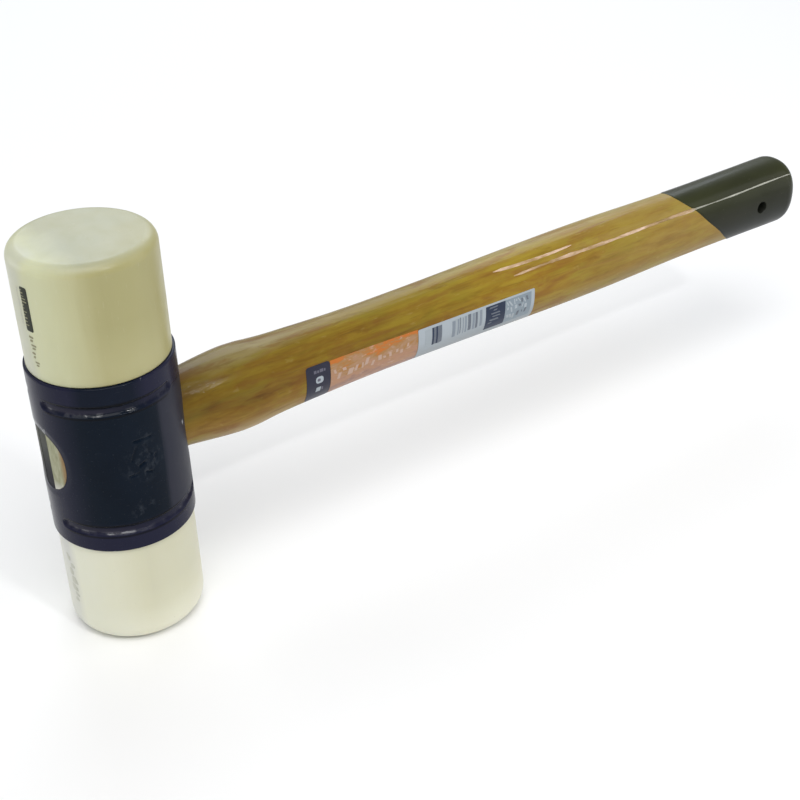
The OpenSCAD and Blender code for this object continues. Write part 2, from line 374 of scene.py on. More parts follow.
# ---------------------------------------------------------------- materials
def rubber_material(name, chalk_and_sheen_from, painted_shade_span, deep, light, flowing, chalk_and_sheen_tone, handled, struck, painted_shade_tone,
                    smudged):
    """Cream moulded rubber: paler on the struck side by painted sheen, darker and yellower away from it by
    painted shade, powdery and pale where it strikes, partly painted sheen.

    The first argument is how far from the end the powdery band with its painted sheen starts, the second
    the span where the painted shade sets in, in mm.
    The rest are tones: two of the mottle, then one for each effect.
    """
    m = Nodes(name)
    where = m.position()
    cloud = m.noise(where, 38, 3, 0.5)
    flow = m.streak((60, 60, 14), 4, 0.6, 0.6)
    colour = m.ramp(cloud, [(0.30, deep), (0.70, light)])
    colour = m.mix(m.between(flow, 0.35, 0.75, 0.0, 0.35), colour, flowing)
    x, y, height = m.axes()
    from_middle = m.maths("ABSOLUTE", height)
    # the striking end's pale band, partly powdery wear and partly painted sheen, reaches further on the
    # struck side and the back
    lean = (y - x) * 0.030
    strike = m.between(from_middle + lean, HEAD_LEN / 2 - chalk_and_sheen_from * MM, HEAD_LEN / 2 - 0.3 * MM)
    chalk_and_sheen = strike * m.between(m.noise(where, 26, 4, 0.5), 0.25, 0.75, 0.55, 1.0)
    colour = m.mix(chalk_and_sheen, colour, chalk_and_sheen_tone)
    colour = m.stain(colour, handled, 0.30, 0.50, 0.80, (30, 30, 55), 3, 0.5, shift=(0.4, 0.2, 0.1))
    speck = m.between(m.noise(where, 1100, 2, 0.5), 0.72, 0.78, 0.0, 0.30)
    colour = m.mix(speck, colour, (0.20, 0.18, 0.12))
    wavy_x = x + (flow - 0.5) * (10 * MM)
    # painted sheen: the struck side paler
    struck_side_sheen = m.between_mm(wavy_x, -7.0, -21.5, 0.0, 0.80)
    colour = m.mix(struck_side_sheen, colour, struck)
    # painted shade: darker and yellower away from the struck side
    painted_shade_share = m.between_mm(wavy_x, -13.0, -4.0, 0.0, 0.65) * m.between_mm(from_middle, *painted_shade_span, 0.20)
    colour = m.mix(painted_shade_share * (1.0 - chalk_and_sheen), colour, painted_shade_tone)
    wavy_y = y + (cloud - 0.5) * (14 * MM)
    smudge = m.between_mm(y, -7.0, -3.0) * m.between_mm(wavy_y, 13.0, 2.0)
    smudge = smudge * m.between_mm(x, -16.0, -19.0)
    colour = m.mix(smudge * m.between(cloud, 0.3, 0.7, 0.45, 0.85), colour, smudged)
    colour = m.stain(colour, (0.80, 0.79, 0.70), 0.10, 0.66, 0.74, (900, 900, 130), 3, 0.6,
                     shift=(0.2, 0.7, 0.4))
    rough = m.between(m.noise(where, 160, 4, 0.6), 0.3, 0.7, 0.30, 0.42)
    skin = m.noise(where, 1400, 3, 0.6) + m.noise(where, 90, 3, 0.5) * 2.0
    m.set(Base_Color=colour, Roughness=rough + chalk_and_sheen * 0.06,
          Subsurface_Weight=0.10, Subsurface_Radius=(0.003, 0.0024, 0.0012), Subsurface_Scale=1.0,
          Specular_IOR_Level=0.45, Normal=m.bump(skin, 0.22, 0.06))
    return m.material


def near(m, spot, inner, outer):
    """1 within the inner radius of a spot, falling to 0 at the outer one."""
    return m.between(m.distance(m.position(), spot), outer, inner)


def paint_material():
    """Blue-black paint on steel: orange peel, painted light and shade in the crimps, painted reflection and
    sheen bands, rubbed patches that are partly painted glints, dust, scratches and a few chips at the rims
    and the eye.
    """
    m = Nodes("sleeve_paint_look")
    where = m.position()
    x, y, height = m.axes()
    cloud = m.noise(where, 45, 4, 0.55)
    colour = m.ramp(cloud, [(0.30, (0.0004, 0.0038, 0.0100)), (0.70, (0.0018, 0.0068, 0.0160))])
    round_to = m.maths("ABSOLUTE", m.maths("ARCTAN2", y, x))
    from_middle = m.maths("ABSOLUTE", height)
    from_struck = math.pi - round_to
    # painted reflection: a paler band on the sleeve's handle side, fainter towards the rims; the band is
    # also rougher, like a dusty bloom
    bloom_and_reflection = m.between_degrees(round_to + cloud * 0.10, 77, 72, 0.0, 0.75)
    bloom_and_reflection = bloom_and_reflection * m.between_mm(from_middle, 22.5, 20.5, 0.30)
    colour = m.mix(bloom_and_reflection, colour, (0.0270, 0.0280, 0.0440))
    # painted sheen: violet towards the rims and on the struck side, kept off part of the upper half's
    # flanks
    violet_sheen = m.maths("MAXIMUM", m.between_mm(from_middle, 20.0, 23.5, 0.0, 0.90),
                     m.between_degrees(from_struck, 46, 20, 0.0, 0.75))
    upper = m.maths("GREATER_THAN", height, 0.0)
    teal = m.between_degrees(from_struck, 40, 50) * m.between_degrees(from_struck, 100, 88, 0.0, 0.8)
    violet_sheen = violet_sheen * (1.0 - upper * teal)
    colour = m.mix(violet_sheen, colour, (0.0140, 0.0145, 0.0350))
    side = upper * 2.0 - 1.0
    above_line = height - side * (SLEEVE_LEN / 2 - CRIMP_INSET)
    last = CRIMP_START + LOWER_CRIMP_ARC + upper * (UPPER_CRIMP_ARC - LOWER_CRIMP_ARC)
    inside = m.between(from_struck, CRIMP_START, CRIMP_START + CRIMP_FADE)
    inside = inside * m.between(last - from_struck, 0.0, CRIMP_FADE)
    # painted light: the crimps' floors paler, fading along the flanks away from the struck side
    floor = m.between_mm(above_line, 0.9, 0.2) * m.between_mm(above_line, -1.3, -0.7)
    lit = m.between_degrees(from_struck + cloud * 0.3, 98, 72, 0.12, 1.0)
    floor = floor * inside * lit
    colour = m.mix(floor * 0.85, colour, (0.0240, 0.0230, 0.0400))
    # painted shade: dark bands along the crimps' upper lips and below their lower lips
    hood_shade = m.between_mm(above_line, 0.6, 1.2) * m.between_mm(above_line, 2.6, 1.9)
    foot = m.between_mm(above_line, -1.9, -2.3) * m.between_mm(above_line, -3.1, -2.6)
    dark = m.maths("MAXIMUM", hood_shade, foot * 0.8) * inside
    colour = m.mix(dark * 0.9, colour, (0.0004, 0.0007, 0.0016))
    bead = m.between(m.streak((330, 330, 60), 2, 0.5), 0.48, 0.62)
    lip = m.between_mm(above_line, -0.5, -0.9) * m.between_mm(above_line, -1.9, -1.5)
    shine = lip * inside * m.between(bead, 0.0, 1.0, 0.04) * m.between(lit, 0.12, 1.0, 0.35)
    # paler patches round the stamp and above and below it: partly rubbed wear, partly painted glints
    patch = m.between(m.streak((420, 420, 260), 3, 0.6), 0.50, 0.68, 0.0, 0.8)
    wear_and_glints = near(m, RUB_AND_GLINT_SPOTS[0], 2.0 * MM, 9.0 * MM)
    for spot in RUB_AND_GLINT_SPOTS[1:]:
        wear_and_glints = m.maths("MAXIMUM", wear_and_glints, near(m, spot, 0.8 * MM, 3.4 * MM))
    wear_and_glints = wear_and_glints * patch
    colour = m.mix(wear_and_glints, colour, (0.0360, 0.0430, 0.0550))
    rim = m.between(from_middle, SLEEVE_LEN / 2 - 0.7 * MM, SLEEVE_LEN / 2 - 0.2 * MM)
    chip = rim * m.between(m.noise(where, 210, 5, 0.75), 0.66, 0.70)
    knock = m.noise(where, 430, 5, 0.65)
    for spot, inner, outer in CHIPS:
        here = knock + near(m, spot, inner, outer) * 0.30
        chip = m.maths("MAXIMUM", chip, m.between(here, 0.76, 0.80))
    dust = m.between(m.noise(where, 1500, 3, 0.6), 0.66, 0.74)
    scratch = m.between(m.streak((300, 300, 2600), 2, 0.5, 1.2), 0.71, 0.735)
    colour = m.mix(dust * 0.10, colour, (0.10, 0.11, 0.13))
    colour = m.mix(scratch * 0.10, colour, (0.12, 0.13, 0.16))
    colour = m.mix(chip * 0.85, colour, (0.36, 0.37, 0.38))
    rough = m.between(cloud, 0.3, 0.7, 0.16, 0.26) + m.maths("MAXIMUM", dust, chip) * 0.25
    rough = rough + bloom_and_reflection * 0.22 - shine * 0.05
    relief = m.noise(where, 420, 3, 0.55) * 0.5 + m.streak((70, 70, 26), 3, 0.5, 0.4) * 2.2 - chip * 1.2
    m.set(Base_Color=colour, Roughness=rough, Specular_IOR_Level=0.10 + shine * 0.70,
          Normal=m.bump(relief, 0.35, 0.08))
    return m.material


# the tree's rings: the pith runs in front of the handle and below its axis, rising along it
PITH_FORWARD = 60 * MM
PITH_BELOW = 12 * MM
PITH_RISE = 0.030
RING_PITCH = 2.6 * MM


def wood_material():
    """Oak in the solid under a clear film: streaks, soft rings, pores, flecks and a dry end at the eye;
    painted sheen on top, painted light underneath and painted shade towards the head.
    """
    m = Nodes("handle_wood_look")
    x, y, height = m.axes()
    bend = m.streak((7, 30, 30), 3, 0.5)
    wander = (bend - 0.5) * (16 * MM)
    across = y + PITH_FORWARD + wander
    up = height + PITH_BELOW - x * PITH_RISE + wander
    radius = m.maths("SQRT", across * across + up * up)
    turn = m.maths("FRACT", radius / RING_PITCH)
    late = turn**3.0 * m.between(turn, 1.0, 0.93)
    broad = m.streak((10, 105, 105), 4, 0.55, 0.3, shift=(0.2, 0.5, 0.1))
    fibre = m.streak((24, 520, 520), 5, 0.62)
    fine = m.streak((90, 2400, 2400), 3, 0.6)
    mottle = m.streak((62, 240, 240), 3, 0.6, 0.5, shift=(0.6, 0.2, 0.8))
    tone = broad * 1.10 + fibre * 0.45 + (late * 0.12 + mottle * 0.80) - 0.72
    colour = m.ramp(tone, [(0.18, (0.335, 0.222, 0.022)), (0.40, (0.272, 0.151, 0.013)),
                           (0.58, (0.220, 0.107, 0.008)), (0.80, (0.126, 0.053, 0.004))])
    # painted sheen: olive streaks on the upper part of the handle
    olive_top_sheen = m.between(m.streak((14, 210, 210), 3, 0.6, shift=(0.3, 0.1, 0.7)), 0.35, 0.65, 0.10, 0.65)
    colour = m.mix(olive_top_sheen * m.between_mm(height, 3.0, 11.0), colour, (0.345, 0.262, 0.024))
    # painted sheen: grey along the top edge near the head and along the back
    grey_top_sheen = m.between_mm(height, 12.6, 14.4, 0.0, 0.5) * m.between_mm(x, 130, 70)
    grey_back_sheen = m.between_mm(height, 11.0, 13.2, 0.0, 0.5) * m.between_mm(y, -1.5, 2.5)
    colour = m.mix(m.maths("MAXIMUM", grey_top_sheen, grey_back_sheen), colour, (0.430, 0.390, 0.200))
    # tan streaks underneath: partly the wood's tone, partly painted light from below
    tan = m.between(m.streak((12, 160, 160), 3, 0.6, shift=(0.9, 0.4, 0.2)), 0.35, 0.65, 0.25, 0.70)
    tan_and_bounce_tone = m.mix(m.between_mm(x, 100, 170), (0.335, 0.222, 0.082), (0.280, 0.222, 0.088))
    colour = m.mix(tan * m.between_mm(height, -1.0, -9.0), colour, tan_and_bounce_tone)
    # painted light from below: the underside near the head paler
    foot = m.between_mm(height, -6.0, -12.5, 0.0, 0.85) * m.between_mm(x, 85, 50)
    colour = m.mix(foot, colour, (0.480, 0.360, 0.190))
    # casts of green and brown, then flecks
    colour = m.stain(colour, (0.285, 0.225, 0.020), 0.55, 0.50, 0.66, (42, 150, 150), 3, 0.55, 0.7,
                     shift=(0.7, 0.2, 0.5))
    colour = m.stain(colour, (0.225, 0.088, 0.018), 0.55, 0.50, 0.64, (36, 170, 170), 4, 0.60, 0.7,
                     shift=(0.1, 0.9, 0.3))
    colour = m.stain(colour, (0.130, 0.060, 0.006), 0.30, 0.55, 0.68, (60, 420, 420), 3, 0.55, 0.6,
                     shift=(0.4, 0.8, 0.3))
    pores = m.between(m.streak((75, 1800, 1800), 2, 0.5), 0.58, 0.70) * m.between(turn, 0.60, 0.10, 0.30)
    colour = m.mix(pores * 0.30, colour, (0.085, 0.038, 0.008))
    # ray cells
    colour = m.stain(colour, (0.480, 0.360, 0.120), 0.30, 0.66, 0.76, (180, 900, 210), 2, 0.5,
                     shift=(0.1, 0.6, 0.2))
    pale_end = m.between_mm(x + broad * (40 * MM), 195, 265, 0.0, 0.50)
    pale_end = pale_end * m.between(mottle, 0.30, 0.60, 1.1, 0.7)
    colour = m.mix(pale_end, colour, (0.345, 0.255, 0.070))
    # painted shade: darker towards the head, less so underneath, and in a band on the upper half between 86
    # and 165 mm
    shade_in = m.between_mm(x, 30, 150, 0.49, 0.0) * m.between_mm(height, 2.0, -4.0, 1.0, 0.35)
    painted_shade_band = m.between_mm(x, 86, 104) * m.between_mm(x, 165, 140, 0.0, 0.12) * m.between_mm(height, 0.0, 4.0)
    colour = m.mix(shade_in + painted_shade_band, colour, (0.040, 0.020, 0.002))

    # the dry end at the eye
    dry = m.ramp(m.streak((200, 900, 240), 4, 0.6),
                 [(0.30, (0.265, 0.268, 0.165)), (0.70, (0.430, 0.432, 0.300))])
    dry = m.mix(m.between_mm(height, -6.5, -9.5, 0.0, 0.75), dry, (0.600, 0.590, 0.540))
    dry = m.mix(m.between_mm(y, -8.3, -9.7, 0.0, 0.70), dry, (0.250, 0.125, 0.040))
    dry = m.mix(m.between(y, WEDGE_Y, WEDGE_Y + 1 * MM, 0.0, 0.88), dry, (0.048, 0.051, 0.050))
    # painted shade on the far half of the end grain, past the wedge's line, deepest low down
    dry = m.mix(m.between_mm(height, 4.0, -8.0, 0.0, 0.8) * m.maths("GREATER_THAN", y, WEDGE_Y),
                dry, (0.020, 0.019, 0.026))
    end = m.between(x, -SLEEVE_R + 4.4 * MM, -SLEEVE_R + 3.4 * MM)
    colour = m.mix(end, colour, dry)

    from_hole = m.distance(m.position((1, 0, 1)), (HANG_X, 0, AXIS_Z))
    dipped = m.between(from_hole, HANG_R + 1.4 * MM, HANG_R + 1.0 * MM)
    colour = m.mix(dipped, colour, (0.010, 0.011, 0.008))
    crease = film_crease(m) + m.streak((120, 90, 90), 3, 0.5, 0.8) * 0.5
    relief = fine * 0.5 + fibre * 0.8 - pores
    film = (1.0 - end) * (1.0 - dipped)
    m.set(Base_Color=colour, Roughness=m.between(fibre, 0.3, 0.7, 0.38, 0.58), Specular_IOR_Level=0.07,
          Normal=m.bump(relief, 0.4, 0.08), Coat_Weight=film * 0.26, Coat_Roughness=0.14,
          Coat_IOR=1.45, Coat_Normal=m.bump(crease, 0.5, 0.7))
    return m.material


def wedge_material():
    """Grey wedge: crushed end fibres, darker towards the bottom."""
    m = Nodes("wedge_wood_look")
    fibre = m.streak((300, 2600, 500), 4, 0.65)
    cloud = m.noise(m.position(), 220, 3, 0.6)
    colour = m.ramp(fibre, [(0.32, (0.050, 0.053, 0.050)), (0.68, (0.120, 0.125, 0.115))])
    colour = m.mix(m.between(cloud, 0.4, 0.7, 0.0, 0.5), colour, (0.090, 0.088, 0.070))
    height = m.axes()[2] + cloud * (3 * MM)
    colour = m.mix(m.between_mm(height, 7.0, -4.0, 0.0, 0.85), colour, (0.020, 0.019, 0.028))
    m.set(Base_Color=colour, Roughness=m.between(fibre, 0.3, 0.7, 0.60, 0.80), Specular_IOR_Level=0.08,
          Normal=m.bump(fibre + cloud, 0.6, 0.15))
    return m.material


def coat_material():
    """Dark green dipped coat: glossy, with faint sags, dust nibs and the grain telegraphing through;
    lighter and greener on top by painted light, greyer underneath.
    """
    m = Nodes("dip_coat_look")
    where = m.position()
    cloud = m.streak((30, 70, 70), 3, 0.5)
    colour = m.ramp(cloud, [(0.30, (0.0115, 0.0130, 0.0050)), (0.70, (0.0190, 0.0200, 0.0100))])
    height = m.axes()[2]
    # painted light: greener and lighter on top; greyer underneath
    green = m.between_mm(height, 2.0, 9.0) * m.between(cloud, 0.3, 0.7, 0.4, 1.0)
    colour = m.mix(green, colour, (0.0300, 0.0340, 0.0110))
    colour = m.mix(m.between_mm(height, 1.0, -7.0, 0.0, 0.8), colour, (0.0115, 0.0145, 0.0125))
    nib = m.between(m.noise(where, 1100, 2, 0.5), 0.70, 0.76)
    colour = m.mix(nib * 0.25, colour, (0.13, 0.14, 0.10))
    grain = m.streak((40, 900, 900), 4, 0.6)
    sag = m.streak((22, 80, 80), 3, 0.5, 0.5)
    relief = grain * 0.6 + sag * 2.0
    m.set(Base_Color=colour, Roughness=m.between(cloud, 0.3, 0.7, 0.30, 0.40), Specular_IOR_Level=0.12,
          Coat_Weight=0.10, Coat_Roughness=0.12, Normal=m.bump(relief, 0.35, 0.07))
    return m.material


def steel_material(name, light, dark, rough):
    """Bare steel with scale: mottled, scratched and lightly rusted."""
    m = Nodes(name)
    where = m.position()
    mottle = m.noise(where, 260, 5, 0.7)
    colour = m.ramp(mottle, [(0.30, dark), (0.62, light)])
    rust = m.between(m.noise(where, 700, 4, 0.7), 0.60, 0.72)
    colour = m.mix(rust * 0.5, colour, (0.120, 0.062, 0.030))
    scratch = m.streak((300, 3200, 300), 3, 0.6)
    m.set(Base_Color=colour, Metallic=m.between(rust, 0.0, 1.0, 0.85, 0.2),
          Roughness=m.between(mottle, 0.3, 0.7, rough, rough + 0.2),
          Normal=m.bump(scratch + mottle, 0.4, 0.06))
    return m.material


def film_crease(m):
    """The long soft creases in the clear film, for its gloss."""
    return m.streak((16, 230, 230), 4, 0.55, 1.4, shift=(0.2, 0.0, 0.5))


def finish_paper(m, colour, fibre, rough, gloss):
    """Paper in a colour under the clear film."""
    m.set(Base_Color=colour, Roughness=m.between(fibre, 0.3, 0.7, rough, rough + 0.12),
          Specular_IOR_Level=0.15, Coat_Weight=gloss, Coat_Roughness=0.12,
          Coat_Normal=m.bump(film_crease(m), 0.45, 0.45), Normal=m.bump(fibre, 0.2, 0.03))
    return m.material


def print_material(name, colour, second, rough=0.35, gloss=0.25, under=None):
    """Printed paper under clear film: mottled ink, and painted shade where it turns under."""
    m = Nodes(name)
    fibre = m.noise(m.position(), 1600, 4, 0.7)
    cloud = m.streak((60, 120, 120), 3, 0.5)
    tone = m.mix(m.between(fibre, 0.35, 0.70, 0.0, 0.35), colour, second)
    tone = m.mix(m.between(cloud, 0.40, 0.70, 0.0, 0.30), tone, second)
    # painted shade where the label turns under the handle
    if under:
        tone = m.mix(m.between_mm(m.axes()[2], -3.5, -10.0, 0.0, 0.85), tone, under)
    return finish_paper(m, tone, fibre, rough, gloss)


def film_material():
    """Welded clear film: its colour is a painted highlight, uneven along the weld and tinted by the wood or
    the coat under it.
    """
    m = Nodes("clear_film_highlight_look")
    x = m.axes()[0]
    bead = m.streak((62, 200, 200), 4, 0.62)
    on_wood_highlight = m.ramp(bead, [(0.36, (0.36, 0.22, 0.06)), (0.50, (0.58, 0.38, 0.20)),
                            (0.62, (0.88, 0.64, 0.46))])
    on_coat_highlight = m.ramp(bead, [(0.30, (0.26, 0.26, 0.20)), (0.64, (0.52, 0.52, 0.44))])
    colour = m.mix(m.between(x, seam_crossing() - 2 * MM, seam_crossing() + 1 * MM), on_wood_highlight, on_coat_highlight)
    m.set(Base_Color=colour, Roughness=m.between(bead, 0.3, 0.7, 0.12, 0.30), Specular_IOR_Level=0.5,
          Coat_Weight=0.5, Coat_Roughness=0.08, Alpha=0.70, Normal=m.bump(bead, 0.6, 0.15))
    return m.material


# ---------------------------------------------------------------- head
CRIMP_INSET = 8.4 * MM
CRIMP_W = 3.2 * MM
CRIMP_DEPTH = 0.9 * MM
CRIMP_START = math.radians(12)        # from the struck side, on both flanks
UPPER_CRIMP_ARC = math.radians(113)
LOWER_CRIMP_ARC = math.radians(143)
CRIMP_FADE = 0.12                     # radians over which a crimp's wear sets in at its ends
SURFACE_ROOM = 0.04 * MM              # left for the wall's unevenness, inside the CAD sleeve
RIM_ROUND = 0.55 * MM
BORE_ROUND = 0.3 * MM
EYE_DISH_DEPTH = 0.30 * MM            # the wall is pressed in slightly round the eye
EYE_DISH_WIDE = 2.6 * MM


def ease(t):
    t = np.clip(t, 0, 1)
    return t * t * (3 - 2 * t)


def crimp_share(phi, z):
    """1 in a crimp's floor, 0 outside it. phi is measured from +X, z from the handle's axis."""
    from_struck = np.pi - np.abs(phi)                   # 0 on the struck side, rising along either flank
    share = np.zeros(np.broadcast(phi, z).shape)
    for sign, span in ((1, UPPER_CRIMP_ARC), (-1, LOWER_CRIMP_ARC)):
        line = sign * (SLEEVE_LEN / 2 - CRIMP_INSET)
        line = line + 0.22 * MM * np.sin(5 * phi + sign) + 0.10 * MM * np.sin(17 * phi + 2 * sign)
        inner = CRIMP_START + CRIMP_W / 2 / SLEEVE_R
        outer = CRIMP_START + span - CRIMP_W / 2 / SLEEVE_R
        off = np.maximum(np.maximum(inner - from_struck, from_struck - outer), 0) * SLEEVE_R
        half = CRIMP_W / 2 + 0.12 * MM * np.sin(11 * phi) + 0.06 * MM * np.sin(29 * phi)
        away = np.hypot(z - line, off)
        share = np.maximum(share, ease((half + 0.30 * MM - away) / (0.95 * MM)))
    return share


def eye_distance(y, z, x):
    """Rough distance outside the eye's oval rim, in metres."""
    a, b = half_sizes(x)
    return (((np.abs(y) / a) ** OVAL_POWER + (np.abs(z) / b) ** OVAL_POWER) ** (1 / OVAL_POWER) - 1) * a


STAMP_PHI = math.radians(-91)
STAMP_Z = 1.8 * MM
STAMP_DEPTH = 0.36 * MM
STAMP_HALF = 0.55 * MM                # half-width of a stroke
# strokes of the stamped mark: centre across and up, half length, tilt in degrees; they spell nothing
STAMP_STROKES = [(0.6, 8.2, 3.0, 0), (-2.7, 3.6, 2.4, 66), (2.0, 3.8, 2.4, -66), (-0.2, -0.8, 1.5, 24),
                 (4.4, -0.4, 1.3, 80), (-3.8, -4.2, 1.5, 8), (1.6, -4.6, 1.2, -20)]


def on_sleeve(degrees, height):
    """A point on the sleeve's outside, by its angle round the head and its height in mm from the middle."""
    phi = math.radians(degrees)
    return Vector((SLEEVE_R * math.cos(phi), SLEEVE_R * math.sin(phi), AXIS_Z + height * MM))


# rubbed places on the front flank, paler partly from wear and partly as painted glints: the stamp first,
# then smaller ones above and below it
RUB_AND_GLINT_SPOTS = [on_sleeve(-90, 1.8), on_sleeve(-86, 12.5), on_sleeve(-93, -14.5), on_sleeve(-99, -16.5)]
# bare spots on the sleeve's paint: centre, radius that is fully knocked, radius where it ends
CHIPS = [(Vector((-SLEEVE_R, -2.2 * MM, AXIS_Z + 11.6 * MM)), 0.6 * MM, 4.0 * MM),
         (Vector((-0.90 * SLEEVE_R, 0.44 * SLEEVE_R, AXIS_Z + 14.5 * MM)), 0.0, 4.0 * MM),
         (Vector((0.76 * SLEEVE_R, -0.65 * SLEEVE_R, AXIS_Z + 4.6 * MM)), 0.0, 2.2 * MM)]


def stamp_share(phi, z):
    """Short strokes struck into the front flank."""
    u = (phi - STAMP_PHI) * SLEEVE_R
    v = z - STAMP_Z
    share = np.zeros_like(u)
    for across, up, half, tilt in STAMP_STROKES:
        c, s = math.cos(math.radians(tilt)), math.sin(math.radians(tilt))
        along = (u - across * MM) * c + (v - up * MM) * s
        off = (v - up * MM) * c - (u - across * MM) * s
        away = np.hypot(np.maximum(np.abs(along) - half * MM, 0), off)
        share = np.maximum(share, ease((STAMP_HALF - away) / (0.35 * MM)))
    return share


def spread(low, high, step, fine_at=(), fine_half=2.6 * MM, fine_step=0.22 * MM):
    """Stations from low to high, closer together around the places in fine_at."""
    stations = [low]
    while stations[-1] < high - 1e-9:
        close = any(abs(stations[-1] - f) < fine_half for f in fine_at)
        stations.append(min(high, stations[-1] + (fine_step if close else step)))
    return np.array(stations)


def make_sleeve():
    """The rolled and crimped tube with its beads, rounded rims, dished eye holes and stamped mark."""
    sides = 480
    phi = np.linspace(-np.pi, np.pi, sides, endpoint=False)
    half = SLEEVE_LEN / 2
    outside = SLEEVE_R - SURFACE_ROOM
    crimps = [s * (half - CRIMP_INSET) for s in (-1, 1)]
    outer_z = spread(-half + RIM_ROUND, half - RIM_ROUND, 0.45 * MM, crimps)
    inner_z = spread(-half + 0.6 * MM, half - 0.6 * MM, 4.0 * MM, crimps, 3.2 * MM, 0.8 * MM)
    rings = []

    def ring(radius, z):
        rings.append(np.stack([radius * np.cos(phi), radius * np.sin(phi), np.full(sides, AXIS_Z + z)], -1))

    def rim(angles, wall, inward, end):
        """Rings round an edge of the wall, rounded by a radius into the metal, at one end of the sleeve."""
        for a in np.radians(angles):
            ring(wall - inward * (1 - math.cos(a)), end * (half - abs(inward) * (1 - math.sin(a))))

    y, x = SLEEVE_R * np.sin(phi), SLEEVE_R * np.cos(phi)
    for z in outer_z:
        level = np.full(sides, z)
        radius = outside + 0.03 * MM * np.sin(3 * phi + 40 * z) * np.cos(60 * z)
        radius = radius - CRIMP_DEPTH * crimp_share(phi, level) - STAMP_DEPTH * stamp_share(phi, level)
        dish = ease(1 - eye_distance(y, z, x) / EYE_DISH_WIDE)
        ring(radius - EYE_DISH_DEPTH * np.where(np.abs(y) < SLEEVE_R * 0.75, dish, 0), z)
    rim(np.linspace(15, 90, 6), outside, RIM_ROUND, 1)
    rim(np.linspace(90, 0, 5), BORE_R, -BORE_ROUND, 1)
    for z in inner_z[::-1]:
        ring(BORE_R - 0.85 * CRIMP_DEPTH * crimp_share(phi, np.full(sides, z)), z)
    rim(np.linspace(0, 90, 5), BORE_R, -BORE_ROUND, -1)
    rim(np.linspace(90, 15, 6), outside, RIM_ROUND, -1)
    mesh = mesh_from("head_sleeve_shell", *loop_skin(rings, closed_rows=True))
    piece = add_piece("head_sleeve_shell", mesh, "sleeve_paint", ["head_sleeve"])
    cut(piece, tenon_mesh(0.12 * MM))
    dress(piece, paint_material())
    return piece


def face_radius(height):
    """Radius of a face's flank at a height above its shoulder, with a little draft."""
    return FACE_R - 0.05 * MM * (1 - ease(height / (20 * MM)))


def edge_radius(node):
    """Rounding of a face's striking edge, from the CAD node's flat end."""
    verts = [v.co for v in frame["nodes"][node].data.vertices]
    end = max(abs(co.z - AXIS_Z) for co in verts)
    flat = max(math.hypot(co.x, co.y) for co in verts if abs(abs(co.z - AXIS_Z) - end) < 0.01 * MM)
    return FACE_R - flat


def make_face(name, node, up, material):
    """A striking face: crowned end, rounded edge, drafted flank, moulded shoulder and grooved spigot."""
    edge_r = edge_radius(node)
    flat_r = FACE_R - edge_r
    crown = 0.25 * MM
    seat = CORE_HALF + 0.02 * MM                        # the spigot's end, just clear of the core
    shoulder = SLEEVE_LEN / 2
    top = HEAD_LEN / 2
    spigot = BORE_R - 0.05 * MM
    groove = SLEEVE_LEN / 2 - CRIMP_INSET
    profile = [(spigot * k / 6, seat) for k in range(6)]
    profile += arc(spigot - 0.6 * MM, seat + 0.6 * MM, 0.6 * MM, -90, 0, 5)
    profile += [(spigot - 1.05 * MM * math.sin(math.pi * t) ** 2, groove + (t - 0.5) * 6 * MM)
                for t in np.linspace(0, 1, 15)]
    profile += [(spigot, shoulder - 0.3 * MM), (spigot, shoulder)]
    profile += arc(FACE_R - 0.65 * MM, shoulder + 0.6 * MM, 0.6 * MM, -90, 0, 6)
    flank_top = top - edge_r
    for t in np.linspace(0.06, 0.94, 12):
        height = (flank_top - shoulder) * t
        profile.append((float(face_radius(height)), shoulder + height))
    profile += arc(flat_r, flank_top, edge_r, 0, 84, 18)
    profile += [(flat_r * t, top - crown * 0.10 * t * t) for t in (1.0, 0.9, 0.75, 0.6, 0.45, 0.3, 0.15)]
    profile += [(0.0, top)]
    sign = 1 if up else -1
    profile = [(r, AXIS_Z + sign * z) for r, z in profile]
    piece = add_piece(name, revolve(name, profile), "face_rubber", [node])
    dress(piece, material, 50)
    return piece


# ---------------------------------------------------------------- handle
WEDGE_Y = (WEDGE_HI.y + WEDGE_LO.y) / 2
WEDGE_HALF = (WEDGE_HI.y - WEDGE_LO.y) / 2


def wedge_half(x):
    """Half-thickness of the wedge's slot at x, down to the saw kerf's."""
    t = (x - WEDGE_LO.x) / (WEDGE_HI.x - WEDGE_LO.x)
    return WEDGE_HALF + (0.4 * MM - WEDGE_HALF) * min(max(t, 0), 1)


def dressing_mesh(crown_r):
    """All that is kept when the handle's struck end is dressed to a cylinder about the head's axis."""
    tall = 40 * MM
    low, high = AXIS_Z - tall, AXIS_Z + tall
    profile = [(0, low), (crown_r, low), (crown_r, high), (0, high)]
    keep = bpy.data.objects.new("keep", revolve("crown", profile, 256))
    bpy.context.scene.collection.objects.link(keep)
    cut(keep, box_mesh((0.0, -tall, low), (REACH + tall, tall, high)), "UNION")
    mesh = keep.data
    bpy.data.objects.remove(keep)
    return mesh


def make_handle():
    """The whole handle in one skin, dressed to the sleeve, kerfed for the wedge and drilled at the butt."""
    sides = 144
    angle = np.linspace(0, 2 * np.pi, sides, endpoint=False)
    along = np.concatenate([np.linspace(-SLEEVE_R - 2 * MM, SLEEVE_R, 16)[:-1],
                            np.linspace(SLEEVE_R, DOME_X, 190)[:-1],
                            REACH - (REACH - DOME_X) * (1 - np.sin(np.linspace(0, np.pi / 2, 16)))])
    rings = [oval_point(np.full(sides, x), angle) for x in along]
    piece = add_piece("oak_handle", mesh_from("oak_handle", *loop_skin(rings)), "handle_wood", ["handle"])
    cut(piece, dressing_mesh(CROWN_R), "INTERSECT")
    cut(piece, wedge_mesh(0.05 * MM, 6 * MM))
    cut(piece, hole_mesh(HANG_R))
    dress(piece, wood_material())
    return piece


